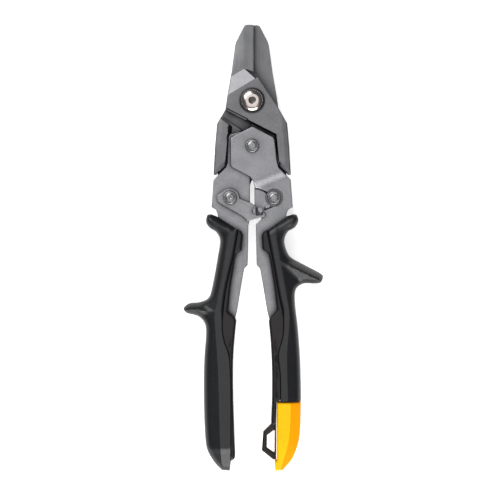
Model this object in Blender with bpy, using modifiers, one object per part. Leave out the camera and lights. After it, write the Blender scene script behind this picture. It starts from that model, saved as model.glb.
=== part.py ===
"""Aviation snips with compound-action handles, lying flat on their back face.

Run with: blender --background --python part.py

Two crossed blades turn on the main bolt. The back blade's tang is pinned to the left handle and the
front blade's tang to the right handle, and the centre rivet joins the two handles, so the handles
turn through twice the angle of the jaws. The tool is the same turned over about its long axis,
apart from its latch and grips, so the back blade is the front blade turned over, and so on.

The design plane has the main bolt at (0, 0), +X to the right and +Y to the tip of the blades, and
the tool's mid-plane at z = 0. Outlines are in millimetres there. The empty "snips" carries the
design plane to the part's own frame: X and Y at the middle of the tool, and Z = 0 underneath.
"""

import math

import bmesh
import bpy
from mathutils import Matrix, Vector

MM = 0.001

# Pivots, in the design plane.
MAIN_PIVOT = (0.0, 0.0)
CENTRE_PIVOT = (0.0, -25.3)
LEFT_PIVOT = (-12.3, -54.2)
RIGHT_PIVOT = (12.3, -54.2)

# Overall size, which places the origin under the middle of the tool.
TIP_Y = 42.5
TAIL_Y = -207.0
LEFT_X = -38.4
RIGHT_X = 39.7

# Heights above the mid-plane.
BLADE_GAP = 0.1
BLADE_EDGE_TOP = 1.7
BLADE_TOP = 3.4
HUB_TOP = 6.0
STEP_TOP = 1.5
TANG_ROOT = 5.0
WEB_TOP = 1.6
PLATE_GAP = 1.9
PLATE_THICKNESS = 2.0
JOGGLE = 2.3
GRIP_TOP = 9.0
GRIP_CHAMFER = 2.6
CORE_CHAMFER = 1.2
CAP_TOP = 8.7
LOOP_TOP = 3.2

CLEARANCE = 0.3
PIN_CLEARANCE = 0.15
FACE_GAP = 0.15
PLATE_TOP = PLATE_GAP + PLATE_THICKNESS
PENTAGON_TOP = PLATE_TOP + JOGGLE

# Main bolt, nut and washers.
BOLT_RADIUS = 3.8
BOLT_HEAD_RADIUS = 6.0
BOLT_WASHER_RADIUS = 7.0
BOLT_WASHER_THICKNESS = 0.7
BOLT_HEAD_HEIGHT = 1.7
BOLT_SOCKET_RADIUS = 1.9
BOLT_SOCKET_DEPTH = 1.1
BACK_BLADE_HOLE_PLAY = 0.45
NUT_ACROSS_CORNERS = 12.4
NUT_WASHER_THICKNESS = 0.5
NUT_HEIGHT = 1.7
NUT_LOW = 8.6

# Rivets, spring and latch.
RIVET_RADIUS = 2.5
RIVET_HEAD_RADIUS = 3.75
RIVET_HEAD_HEIGHT = 1.5
COUNTERBORE_RADIUS = 5.05
COUNTERBORE_DEPTH = 0.8
HANDLE_RIVET_RADIUS = 1.5
BUSH_RADIUS = 4.2
BUSH_TOP = 1.75
SPRING_WIRE = 1.1
SPRING_PITCH = 1.3
SPRING_RADIUS = 5.4
STOP_PIN_RADIUS = 1.3
STOP_PIN_AT = (4.9, -52.2)
LATCH_LOW = 4.7
LATCH_TOP = 6.0
LATCH_TAB_TOP = 8.2
LATCH_WASHER_RADIUS = 4.6
STUD_AT = (4.6, -61.0)
STUD_RADIUS = 1.4
STUD_SHANK_RADIUS = 0.9

ROUND_SIDES = 32
COUNTERBORE_SIDES = 36


def clear_scene():
    for thing in list(bpy.data.objects):
        bpy.data.objects.remove(thing, do_unlink=True)


def collection(name):
    made = bpy.data.collections.new(name)
    bpy.context.scene.collection.children.link(made)
    return made


def material(name, colour, roughness, metallic):
    made = bpy.data.materials.new(name)
    made.use_nodes = True
    shader = made.node_tree.nodes["Principled BSDF"]
    shader.inputs["Base Color"].default_value = (*colour, 1.0)
    shader.inputs["Roughness"].default_value = roughness
    shader.inputs["Metallic"].default_value = metallic
    return made


def curve_through(points, steps=4):
    """Points along a smooth curve through the given ones, its ends included."""
    ends = [points[0], *points, points[-1]]
    found = []
    for before, start, end, after in zip(ends, ends[1:], ends[2:], ends[3:]):
        for step in range(steps):
            t = step / steps
            found.append(
                tuple(
                    0.5 * (2 * b + (c - a) * t + (2 * a - 5 * b + 4 * c - d) * t * t
                           + (3 * b - a - 3 * c + d) * t ** 3)
                    for a, b, c, d in zip(before, start, end, after)
                )
            )
    return [*found, tuple(points[-1])]


def arc(centre, radius, start, end, steps):
    """Points on an arc, from angle start to angle end in degrees."""
    angles = [math.radians(start + (end - start) * i / steps) for i in range(steps + 1)]
    return [(centre[0] + radius * math.cos(a), centre[1] + radius * math.sin(a)) for a in angles]


def mirrored(outline):
    """The outline on the other side of the tool's long axis, still drawn the same way round."""
    return [(-x, y) for x, y in reversed(outline)]


def mesh_of(thing):
    """A welded mesh object at the design origin, in place of a curve or a screwed profile."""
    bpy.context.view_layer.update()
    graph = bpy.context.evaluated_depsgraph_get()
    mesh = bpy.data.meshes.new_from_object(thing.evaluated_get(graph))
    mesh.transform(thing.matrix_world)
    shape = bmesh.new()
    shape.from_mesh(mesh)
    bmesh.ops.remove_doubles(shape, verts=shape.verts, dist=0.000001)
    bmesh.ops.recalc_face_normals(shape, faces=shape.faces)
    shape.to_mesh(mesh)
    shape.free()
    name = thing.name
    bpy.data.objects.remove(thing, do_unlink=True)
    return bpy.data.objects.new(name, mesh)


def prism(name, outline, low, high, chamfer=0.0):
    """A flat outline made solid from height low to height high, with its rims chamfered."""
    data = bpy.data.curves.new(name, "CURVE")
    data.dimensions = "2D"
    data.fill_mode = "BOTH"
    data.extrude = ((high - low) / 2 - chamfer) * MM
    data.bevel_depth = chamfer * MM
    data.bevel_resolution = 0
    data.offset = -chamfer * MM
    spline = data.splines.new("POLY")
    spline.points.add(len(outline) - 1)
    for point, (x, y) in zip(spline.points, outline):
        point.co = (x * MM, y * MM, 0, 1)
    spline.use_cyclic_u = True
    thing = bpy.data.objects.new(name, data)
    thing.location.z = (low + high) / 2 * MM
    bpy.context.scene.collection.objects.link(thing)
    return mesh_of(thing)


def swept_profile(name, profile, start, angle, width):
    """A profile of (distance, height) points standing on the line from start along angle, made solid
    for width to both sides of that line."""
    thing = prism(name, profile, -width, width)
    along = Vector((math.cos(math.radians(angle)), math.sin(math.radians(angle)), 0))
    up = Vector((0, 0, 1))
    stand = Matrix((along, up, along.cross(up))).transposed().to_4x4()
    thing.data.transform(Matrix.Translation((start[0] * MM, start[1] * MM, 0)) @ stand)
    return thing


def turned(name, profile, centre, sides=ROUND_SIDES, closed=False):
    """A turned shape from (radius, height) points that run down its outer side."""
    mesh = bpy.data.meshes.new(name)
    points = [(radius * MM, 0, height * MM) for radius, height in profile]
    edges = [(i, i + 1) for i in range(len(points) - 1)]
    if closed:
        edges.append((len(points) - 1, 0))
    mesh.from_pydata(points, edges, [])
    thing = bpy.data.objects.new(name, mesh)
    thing.location = (centre[0] * MM, centre[1] * MM, 0)
    screw = thing.modifiers.new("turn", "SCREW")
    screw.steps = sides
    screw.render_steps = sides
    screw.use_merge_vertices = True
    screw.merge_threshold = 0.00001
    screw.use_smooth_shade = False
    bpy.context.scene.collection.objects.link(thing)
    return mesh_of(thing)


def cylinder(name, centre, radius, low, high, sides=ROUND_SIDES):
    return turned(name, [(0, high), (radius, high), (radius, low), (0, low)], centre, sides)


def headed_pin(name, centre, radius, faces, heads, crown=0.35):
    """A rivet through the tool: shank radius, (top, bottom) faces that its heads bear on, and
    (radius, height) of each head."""
    (top, bottom), ((top_radius, top_height), (low_radius, low_height)) = faces, heads
    profile = [
        (0, top + top_height),
        (top_radius * 0.72, top + top_height),
        (top_radius, top + top_height * crown),
        (top_radius, top),
        (radius, top),
        (radius, bottom),
        (low_radius, bottom),
        (low_radius, bottom - low_height * crown),
        (low_radius * 0.72, bottom - low_height),
        (0, bottom - low_height),
    ]
    return turned(name, profile, centre)


def ring(name, centre, inner, outer, low, high):
    profile = [(inner, high), (outer, high), (outer, low), (inner, low)]
    return turned(name, profile, centre, closed=True)


def boolean(thing, operation, others, helpers):
    for other in others:
        modifier = thing.modifiers.new(other.name, "BOOLEAN")
        modifier.operation = operation
        modifier.object = other
        modifier.solver = "EXACT"
        if other.name not in helpers.objects:
            helpers.objects.link(other)
        other.hide_render = True
        other.display_type = "WIRE"


def bisect_and_lift(thing, normal, low_line, high_line, lift):
    """Joggles a flat plate: nothing moves below low_line, everything past high_line rises by lift.
    A line is its distance from the origin along normal."""
    direction = Vector((*normal, 0)).normalized()
    shape = bmesh.new()
    shape.from_mesh(thing.data)
    for line in (low_line, high_line):
        everything = [*shape.verts, *shape.edges, *shape.faces]
        bmesh.ops.bisect_plane(
            shape, geom=everything, plane_co=direction * line * MM, plane_no=direction, dist=1e-7
        )
    for vert in shape.verts:
        along = direction.dot(vert.co) / MM
        share = (along - low_line) / (high_line - low_line)
        vert.co.z += min(max(share, 0.0), 1.0) * lift * MM
    shape.to_mesh(thing.data)
    shape.free()


# ---------------------------------------------------------------- outlines

# The front blade's front half: the cutting part on the left, the hub, and the tang on the right.
BLADE_OUTLINE = [
    (1.0, TIP_Y),
    (-3.7, TIP_Y),
    (-8.9, 33.0),
    (-9.5, 30.9),
    (-11.5, 15.8),
    (-13.8, 2.6),
    (-14.9, -5.2),
    (12.8, -19.3),
    (14.3, -34.5),
    (15.2, -36.6),
    (20.3, -41.3),
    (21.6, -41.3),
    (20.7, -25.1),
    (19.6, -12.8),
    (14.7, -4.3),
    (8.7, 4.8),
    (4.4, 11.3),
    (1.0, 17.2),
]
# The tang's back half, which stands clear of the other blade's hub. Its walls are a hair inside
# the front half's, so that the two halves join cleanly.
TANG_OUTLINE = [
    (16.95, -10.4),
    (9.9, -15.4),
    (10.4, -17.2),
    (13.7, -19.0),
    (14.38, -34.48),
    (15.26, -36.55),
    (20.32, -41.24),
    (21.54, -41.24),
    (20.64, -25.1),
    (19.54, -12.82),
    (17.5, -9.45),
]
# The thin lip under the hub, which closes the view between the hub and the handle plates.
LIP_OUTLINE = [(-0.2, -10.5), (7.0, -14.2), (7.0, -18.2), (-0.2, -15.6)]
LIP_LOW = 0.2
LIP_TOP = 1.45
TANG_STEP_OUTLINE = [(16.9, -8.9), (5.4, -16.4), (11.3, -20.4), (15.0, -21.0), (19.3, -12.8)]
WEB_OUTLINE = [
    (15.5, -22.0),
    (11.2, -24.0),
    (10.6, -34.0),
    (8.0, -46.0),
    *arc(RIGHT_PIVOT, 6.2, 180, 360, 12),
    (19.6, -46.0),
    (18.2, -30.0),
]
# The ramp from the thin cutting part up to the hub, and the facet along the blade's outer side.
RAMP_START = (-5.7, 7.75)
RAMP_ANGLE = 120.9
RAMP_RUN = 8.0
RIDGE_START = (-4.6, 34.0)
RIDGE_HALF_LENGTH = 16.5
RIDGE_ANGLE = 183.0
RIDGE_TO_OUTLINE = 7.0

# The joggled plate, right handle in front: over the left plate at the middle, level with it below.
JOGGLE_NORMAL = (-0.366, 0.930)
JOGGLE_LOW = -46.6
JOGGLE_HIGH = -43.2
HEAD_NOTCH = curve_through([(22.7, -59.5), (20.6, -60.6), (19.4, -62.6), (19.0, -65.0)], 3)
SHANK_OUTER = [(19.0, -70.5), (15.0, -75.5), (12.8, -81.0), (13.6, -90.0), (16.6, -104.4),
               (19.2, -118.0), (20.6, -132.0), (20.6, -149.0), (18.0, -151.5), (15.6, -151.5)]
SHANK_INNER = [(13.6, -149.0), (12.8, -136.0), (11.0, -126.0), (9.3, -120.8), (8.4, -117.2),
               (6.3, -104.4), (4.5, -93.9), (2.5, -91.7), (2.1, -69.8)]
JOGGLED_PLATE = [
    (0.2, -14.5),
    (-12.0, -20.8),
    (-12.0, -36.7),
    (-1.2, -42.5),
    (0.4, -44.7),
    (2.0, -49.4),
    (1.3, -49.8),
    (1.3, -58.6),
    (1.8, -68.4),
    *reversed(SHANK_INNER),
    *reversed(SHANK_OUTER),
    *reversed(HEAD_NOTCH),
    (21.6, -44.2),
    (19.6, -42.2),
    (14.7, -37.4),
    (13.8, -34.0),
    (12.4, -22.0),
    (11.8, -20.6),
]
# The slot that frees the joggled plate's lower lobe from its ramp.
LOBE_SLOT = [(1.0, -49.0), (3.4, -48.9), (5.6, -49.7), (8.6, -51.1), (8.4, -51.7), (5.4, -50.3),
             (3.4, -49.5), (1.0, -49.6)]
# The notch at the inner corner of both right plates, under the latch's hook.
INNER_NOTCH = [(0.0, -64.4), (5.0, -64.9), (5.2, -66.3), (2.1, -68.9), (0.0, -68.9)]
# The flat plate, left handle in front.
CENTRE_LOBE_RADIUS = 9.5
FLAT_PLATE = [
    *arc(CENTRE_PIVOT, CENTRE_LOBE_RADIUS, -97.2, 118.0, 20),
    (-12.2, -18.8),
    (-13.3, -20.2),
    (-13.8, -34.8),
    (-14.7, -37.4),
    (-19.6, -42.2),
    (-21.6, -44.2),
    *[(-x, y) for x, y in HEAD_NOTCH],
    *[(-x, y) for x, y in SHANK_OUTER],
    *[(-x, y) for x, y in SHANK_INNER],
    (-1.8, -68.4),
    (-1.2, -66.0),
]
SPACER_OUTLINE = [(3.6, -72.0), (3.9, -93.0), (5.6, -95.0), (7.6, -106.0), (10.6, -121.0),
                  (12.6, -128.0), (14.4, -148.0), (19.2, -148.0), (19.2, -132.0), (17.8, -118.0),
                  (16.2, -104.4), (13.3, -90.0), (12.0, -81.0), (14.0, -73.5), (12.0, -70.0)]
HANDLE_RIVETS = [(13.3, -100.0), (16.8, -134.0)]

LATCH_OUTLINE = [
    *arc(LEFT_PIVOT, 5.2, 20, 130, 6),
    (-19.2, -52.6),
    (-19.8, -54.0),
    (-19.3, -56.6),
    (-5.2, -64.8),
    (-2.5, -67.5),
    (1.0, -66.3),
    (4.4, -65.4),
    (7.5, -64.7),
    (7.4, -62.8),
    (5.9, -62.8),
    (5.8, -64.0),
    (2.45, -64.0),
    (2.45, -59.6),
    (1.8, -58.6),
    (-1.0, -56.9),
    (-5.2, -55.3),
    (-7.0, -54.6),
]
LATCH_TAB = [(0.0, -60.4), (1.9, -60.0), (2.2, -62.6), (0.3, -63.2)]

# Left grip. Its seam divides the hard core, inside, from the soft cover, outside.
LEFT_SEAM = curve_through([(-7.7, -72.1), (-10.2, -86.2), (-14.4, -104.4), (-16.2, -118.2),
                           (-16.6, -127.7), (-15.2, -135.1), (-12.8, -142.5), (-11.8, -159.0),
                           (-11.8, -201.0)], 3)
LEFT_COVER = [
    (-10.2, -70.7),
    (-19.0, -65.0),
    *curve_through([(-22.6, -63.5), (-25.0, -63.9), (-25.7, -68.0), (-23.6, -71.1),
                    (-19.9, -73.5), (-17.9, -78.0), (-19.0, -86.2), (-22.3, -104.4),
                    (-24.6, -110.4), (-29.6, -112.6), (-35.1, -113.2), (-38.3, -115.8),
                    (-36.4, -118.6), (-30.4, -120.2), (-26.6, -123.9), (-25.7, -130.0),
                    (-26.8, -145.3), (-27.0, -164.0), (-26.6, -181.0), (-25.4, -194.0),
                    (-21.4, -201.8), (-17.0, -206.6)], 3),
    (-12.6, TAIL_Y),
]
LEFT_CORE_TOP = (-6.0, -73.0)
LEFT_CORE_INNER = [
    *curve_through([(-11.3, -200.6), (-9.5, -198.6), (-9.8, -190.0), (-10.6, -164.0),
                    (-10.6, -145.3), (-9.7, -131.8), (-8.8, -123.0)], 3),
    (-9.6, -120.6),
    (-13.4, -117.6),
    (-12.0, -104.4),
    (-9.6, -88.6),
    (-8.8, -85.6),
    (-5.9, -83.5),
    (-5.1, -75.0),
]

# Right grip.
RIGHT_SEAM = curve_through([(8.2, -72.4), (10.4, -83.8), (14.7, -107.5), (17.2, -120.0),
                            (17.2, -131.0), (14.6, -141.5), (15.6, -153.0), (15.8, -167.8)], 3)
RIGHT_COVER = [
    (19.4, -64.5),
    *curve_through([(22.6, -63.5), (24.9, -63.9), (25.8, -67.2), (23.8, -70.8),
                    (19.7, -73.4), (18.0, -78.5), (19.6, -84.6), (22.4, -88.0),
                    (30.6, -92.4), (38.4, -96.5), (39.65, -98.6), (38.2, -101.6), (34.6, -102.2),
                    (28.7, -102.2), (24.4, -105.4), (23.9, -113.0), (25.5, -127.0),
                    (26.7, -143.0), (27.2, -158.0)], 3),
    (27.3, -167.8),
]
RIGHT_CORE_TOP = (6.3, -73.4)
RIGHT_CORE_INNER = [
    (5.3, -75.2),
    (5.7, -83.0),
    (8.9, -85.2),
    (9.8, -88.6),
    (12.2, -103.4),
    (13.8, -116.8),
    (9.8, -121.2),
    *curve_through([(9.3, -123.4), (10.4, -135.1), (11.1, -150.0), (11.1, -166.0),
                    (10.6, -179.0)], 3),
]
END_CAP = [
    (13.9, -168.4),
    (27.2, -168.4),
    *curve_through([(27.0, -180.0), (26.0, -190.0), (22.5, -199.6), (17.2, -206.0)], 3),
    (12.9, -206.7),
    (12.6, -201.4),
    (13.9, -200.7),
]
LOOP_OUTLINE = [(10.6, -180.6), (6.2, -184.9), (5.4, -195.4), (11.9, -200.6), (13.4, -200.2),
                (13.4, -169.4), (11.3, -169.4)]
LOOP_OPENING = [(12.7, -184.4), (12.5, -196.3), (11.9, -196.5), (8.2, -193.9), (8.3, -186.9),
                (11.9, -184.2)]


# ---------------------------------------------------------------- pieces


def blade(name, helpers, pin_play):
    """The front blade. The back blade is the same, turned over."""
    body = prism(name, BLADE_OUTLINE, BLADE_GAP, HUB_TOP)
    tang = prism(name + "_tang", TANG_OUTLINE, -HUB_TOP, TANG_ROOT)
    step = prism(name + "_step", TANG_STEP_OUTLINE, -STEP_TOP, TANG_ROOT - 1)
    web = prism(name + "_web", WEB_OUTLINE, -WEB_TOP, WEB_TOP)
    lip = prism(name + "_lip", LIP_OUTLINE, LIP_LOW, LIP_TOP)
    over = HUB_TOP + 2.0
    ramp = swept_profile(
        name + "_ramp",
        [(0, HUB_TOP), (RAMP_RUN, BLADE_TOP), (50, BLADE_TOP), (50, over), (-3, over)],
        RAMP_START,
        RAMP_ANGLE,
        40,
    )
    slope = (BLADE_TOP - BLADE_EDGE_TOP) / RIDGE_TO_OUTLINE
    facet = swept_profile(
        name + "_facet",
        [(-1, BLADE_TOP + slope), (12, BLADE_TOP - 12 * slope), (12, over), (-1, over)],
        RIDGE_START,
        RIDGE_ANGLE,
        RIDGE_HALF_LENGTH,
    )
    bolt_hole = cylinder(name + "_bolt_hole", MAIN_PIVOT, BOLT_RADIUS + pin_play, -9, 9)
    pin_hole = cylinder(name + "_pin_hole", RIGHT_PIVOT, RIVET_RADIUS + PIN_CLEARANCE, -9, 9)
    boolean(body, "UNION", [tang, step, web, lip], helpers)
    boolean(body, "DIFFERENCE", [ramp, facet, bolt_hole, pin_hole], helpers)
    return body


def turn_over(thing):
    """Turns a piece and its cutters over about the tool's long axis."""
    for each in [thing, *[modifier.object for modifier in thing.modifiers]]:
        each.data.transform(Matrix.Rotation(math.pi, 4, "Y"))
    return thing


def plate_holes(name, side, radius=RIVET_RADIUS + PIN_CLEARANCE):
    """Holes for the pivots and handle rivets on the side of the tool with sign side."""
    places = [CENTRE_PIVOT, (side * RIGHT_PIVOT[0], RIGHT_PIVOT[1])]
    holes = [cylinder(f"{name}_hole_{i}", place, radius, -9, 9) for i, place in enumerate(places)]
    for i, (x, y) in enumerate(HANDLE_RIVETS):
        place = (side * x, y)
        hole = cylinder(f"{name}_rivet_hole_{i}", place, HANDLE_RIVET_RADIUS + PIN_CLEARANCE, -9, 9, 16)
        holes.append(hole)
    return holes


def joggled_plate(name, helpers, more_holes=()):
    plate = prism(name, JOGGLED_PLATE, PLATE_GAP, PLATE_TOP)
    bisect_and_lift(plate, JOGGLE_NORMAL, JOGGLE_LOW, JOGGLE_HIGH, JOGGLE)
    counterbore = cylinder(name + "_counterbore", RIGHT_PIVOT, COUNTERBORE_RADIUS,
                           PLATE_TOP - COUNTERBORE_DEPTH, 9, COUNTERBORE_SIDES)
    slot = prism(name + "_slot", LOBE_SLOT, -9, 9)
    boolean(plate, "DIFFERENCE", [*plate_holes(name, 1), counterbore, slot, *more_holes], helpers)
    return plate


def flat_plate(name, helpers, more_holes=()):
    plate = prism(name, FLAT_PLATE, PLATE_GAP, PLATE_TOP)
    boolean(plate, "DIFFERENCE", [*plate_holes(name, -1), *more_holes], helpers)
    return plate


def spacer(name, side, helpers):
    outline = SPACER_OUTLINE if side > 0 else mirrored(SPACER_OUTLINE)
    bar = prism(name, outline, -WEB_TOP, WEB_TOP)
    holes = [
        cylinder(f"{name}_hole_{i}", (side * x, y), HANDLE_RIVET_RADIUS + PIN_CLEARANCE, -9, 9, 16)
        for i, (x, y) in enumerate(HANDLE_RIVETS)
    ]
    boolean(bar, "DIFFERENCE", holes, helpers)
    return bar


def shank_room(name, side):
    """The room in a grip for the handle's plates, clear of them all round."""
    outline = [(-1.0, -60.0), (19.0 + CLEARANCE, -60.0)]
    outline += [(x + CLEARANCE, y) for x, y in SHANK_OUTER[:-2]]
    outline += [(18.2, -151.5 - CLEARANCE), (15.4, -151.5 - CLEARANCE), (13.2, -149.2),
                (12.4, -136.1), (10.6, -126.0), (8.8, -121.0), (-1.0, -112.0)]
    if side < 0:
        outline = mirrored(outline)
    return prism(name, outline, -PLATE_TOP - CLEARANCE, PLATE_TOP + CLEARANCE)


def shifted(outline, dx, dy=0.0):
    return [(x + dx, y + dy) for x, y in outline]


def grip(name, outline, side, helpers, chamfer=GRIP_CHAMFER):
    body = prism(name, outline, -GRIP_TOP, GRIP_TOP, chamfer)
    boolean(body, "DIFFERENCE", [shank_room(name + "_room", side)], helpers)
    return body


def right_core(name, helpers):
    outline = [RIGHT_CORE_TOP, *RIGHT_CORE_INNER, (11.1, -181.0), (13.2, -181.0), (13.6, -167.8)]
    outline += [(15.2, -167.8), *reversed(shifted(RIGHT_SEAM[1:-1], -CLEARANCE))]
    body = grip(name, outline, 1, helpers, 1.2)
    loop = prism(name + "_loop", LOOP_OUTLINE, -LOOP_TOP, LOOP_TOP, 0.6)
    opening = prism(name + "_opening", LOOP_OPENING, -9, 9)
    boolean(body, "UNION", [loop], helpers)
    boolean(body, "DIFFERENCE", [opening], helpers)
    return body


def spring(name):
    """Torsion spring: close coils round the bush, and a leg down to each handle's stop pin."""
    steps = 14
    start, end = -150.0, 330.0
    height = SPRING_PITCH * (end - start) / 360
    count = round(steps * (end - start) / 360)
    points = []
    for i in range(count + 1):
        angle = math.radians(start + (end - start) * i / count)
        z = -height / 2 + height * i / count
        points.append((SPRING_RADIUS * math.cos(angle), CENTRE_PIVOT[1] + SPRING_RADIUS * math.sin(angle), z))
    reach = STOP_PIN_RADIUS + SPRING_WIRE / 2 + 0.15
    foot = (STOP_PIN_AT[0] - reach, STOP_PIN_AT[1] - 1.5)
    low, high = points[0], points[-1]
    left = [(-foot[0], foot[1], low[2]), (-foot[0] - 0.1, -40.0, low[2])]
    right = [(foot[0] + 0.1, -40.0, high[2]), (foot[0], foot[1], high[2])]
    return wire(name, [*left, *points, *right], SPRING_WIRE)


def wire(name, points, diameter):
    data = bpy.data.curves.new(name, "CURVE")
    data.dimensions = "3D"
    data.bevel_depth = diameter / 2 * MM
    data.bevel_resolution = 2
    data.use_fill_caps = True
    spline = data.splines.new("POLY")
    spline.points.add(len(points) - 1)
    for point, place in zip(spline.points, points):
        point.co = (*[value * MM for value in place], 1)
    thing = bpy.data.objects.new(name, data)
    bpy.context.scene.collection.objects.link(thing)
    return mesh_of(thing)


def pivot_bolt():
    """Domed head with a round socket, and a shank down through the nut."""
    head_low = HUB_TOP + FACE_GAP + BOLT_WASHER_THICKNESS + FACE_GAP
    head_top = head_low + BOLT_HEAD_HEIGHT
    shank_end = -NUT_LOW + 0.4
    profile = [
        (0, head_top - BOLT_SOCKET_DEPTH),
        (BOLT_SOCKET_RADIUS, head_top - BOLT_SOCKET_DEPTH),
        (BOLT_SOCKET_RADIUS, head_top),
        (BOLT_HEAD_RADIUS * 0.72, head_top - BOLT_HEAD_HEIGHT * 0.14),
        (BOLT_HEAD_RADIUS, head_low + BOLT_HEAD_HEIGHT * 0.3),
        (BOLT_HEAD_RADIUS, head_low),
        (BOLT_RADIUS, head_low),
        (BOLT_RADIUS, shank_end),
        (0, shank_end),
    ]
    return turned("pivot_bolt", profile, MAIN_PIVOT, 40)


def pivot_nut(helpers):
    corners = arc(MAIN_PIVOT, NUT_ACROSS_CORNERS / 2, 0, 300, 5)
    nut = prism("pivot_nut", corners, -NUT_LOW, -NUT_LOW + NUT_HEIGHT, 0.3)
    hole = cylinder("pivot_nut_hole", MAIN_PIVOT, BOLT_RADIUS + PIN_CLEARANCE, -12, 0)
    boolean(nut, "DIFFERENCE", [hole], helpers)
    return nut


def latch(helpers):
    plate = prism("latch_plate", LATCH_OUTLINE, LATCH_LOW, LATCH_TOP, 0.25)
    tab = prism("latch_tab", LATCH_TAB, LATCH_LOW + 0.4, LATCH_TAB_TOP, 0.2)
    hole = cylinder("latch_hole", LEFT_PIVOT, RIVET_RADIUS + PIN_CLEARANCE, 0, 12)
    boolean(plate, "UNION", [tab], helpers)
    boolean(plate, "DIFFERENCE", [hole], helpers)
    return plate


def latch_stud(helpers):
    head_low = PLATE_TOP + CLEARANCE
    profile = [
        (0, LATCH_TOP),
        (STUD_RADIUS, LATCH_TOP),
        (STUD_RADIUS, head_low),
        (STUD_SHANK_RADIUS, head_low),
        (STUD_SHANK_RADIUS, WEB_TOP + FACE_GAP),
        (0, WEB_TOP + FACE_GAP),
    ]
    return turned("latch_stud", profile, STUD_AT, 16)


def rivets():
    """(piece, empty) of each rivet."""
    head = (RIVET_HEAD_RADIUS, RIVET_HEAD_HEIGHT)
    gap = PIN_CLEARANCE
    pentagon_faces = (PENTAGON_TOP + gap, -PENTAGON_TOP - gap)
    left_faces = (LATCH_TOP + gap, -PLATE_TOP + COUNTERBORE_DEPTH - gap)
    right_faces = (PLATE_TOP - COUNTERBORE_DEPTH + gap, -PLATE_TOP - gap)
    made = [
        (headed_pin("centre_rivet", CENTRE_PIVOT, RIVET_RADIUS, pentagon_faces, (head, head)),
         "left_handle_origin"),
        (headed_pin("left_rivet", LEFT_PIVOT, RIVET_RADIUS, left_faces, (head, head)),
         "left_handle_origin"),
        (headed_pin("right_rivet", RIGHT_PIVOT, RIVET_RADIUS, right_faces, (head, head)),
         "handle_fold_axis"),
    ]
    for side, label, axis in ((-1, "left", "left_handle_origin"), (1, "right", "handle_fold_axis")):
        for (x, y), where in zip(HANDLE_RIVETS, ("upper", "lower")):
            name = f"{label}_handle_rivet_{where}"
            pin = cylinder(name, (side * x, y), HANDLE_RIVET_RADIUS, -PLATE_TOP, PLATE_TOP, 16)
            made.append((pin, axis))
    return made


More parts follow.
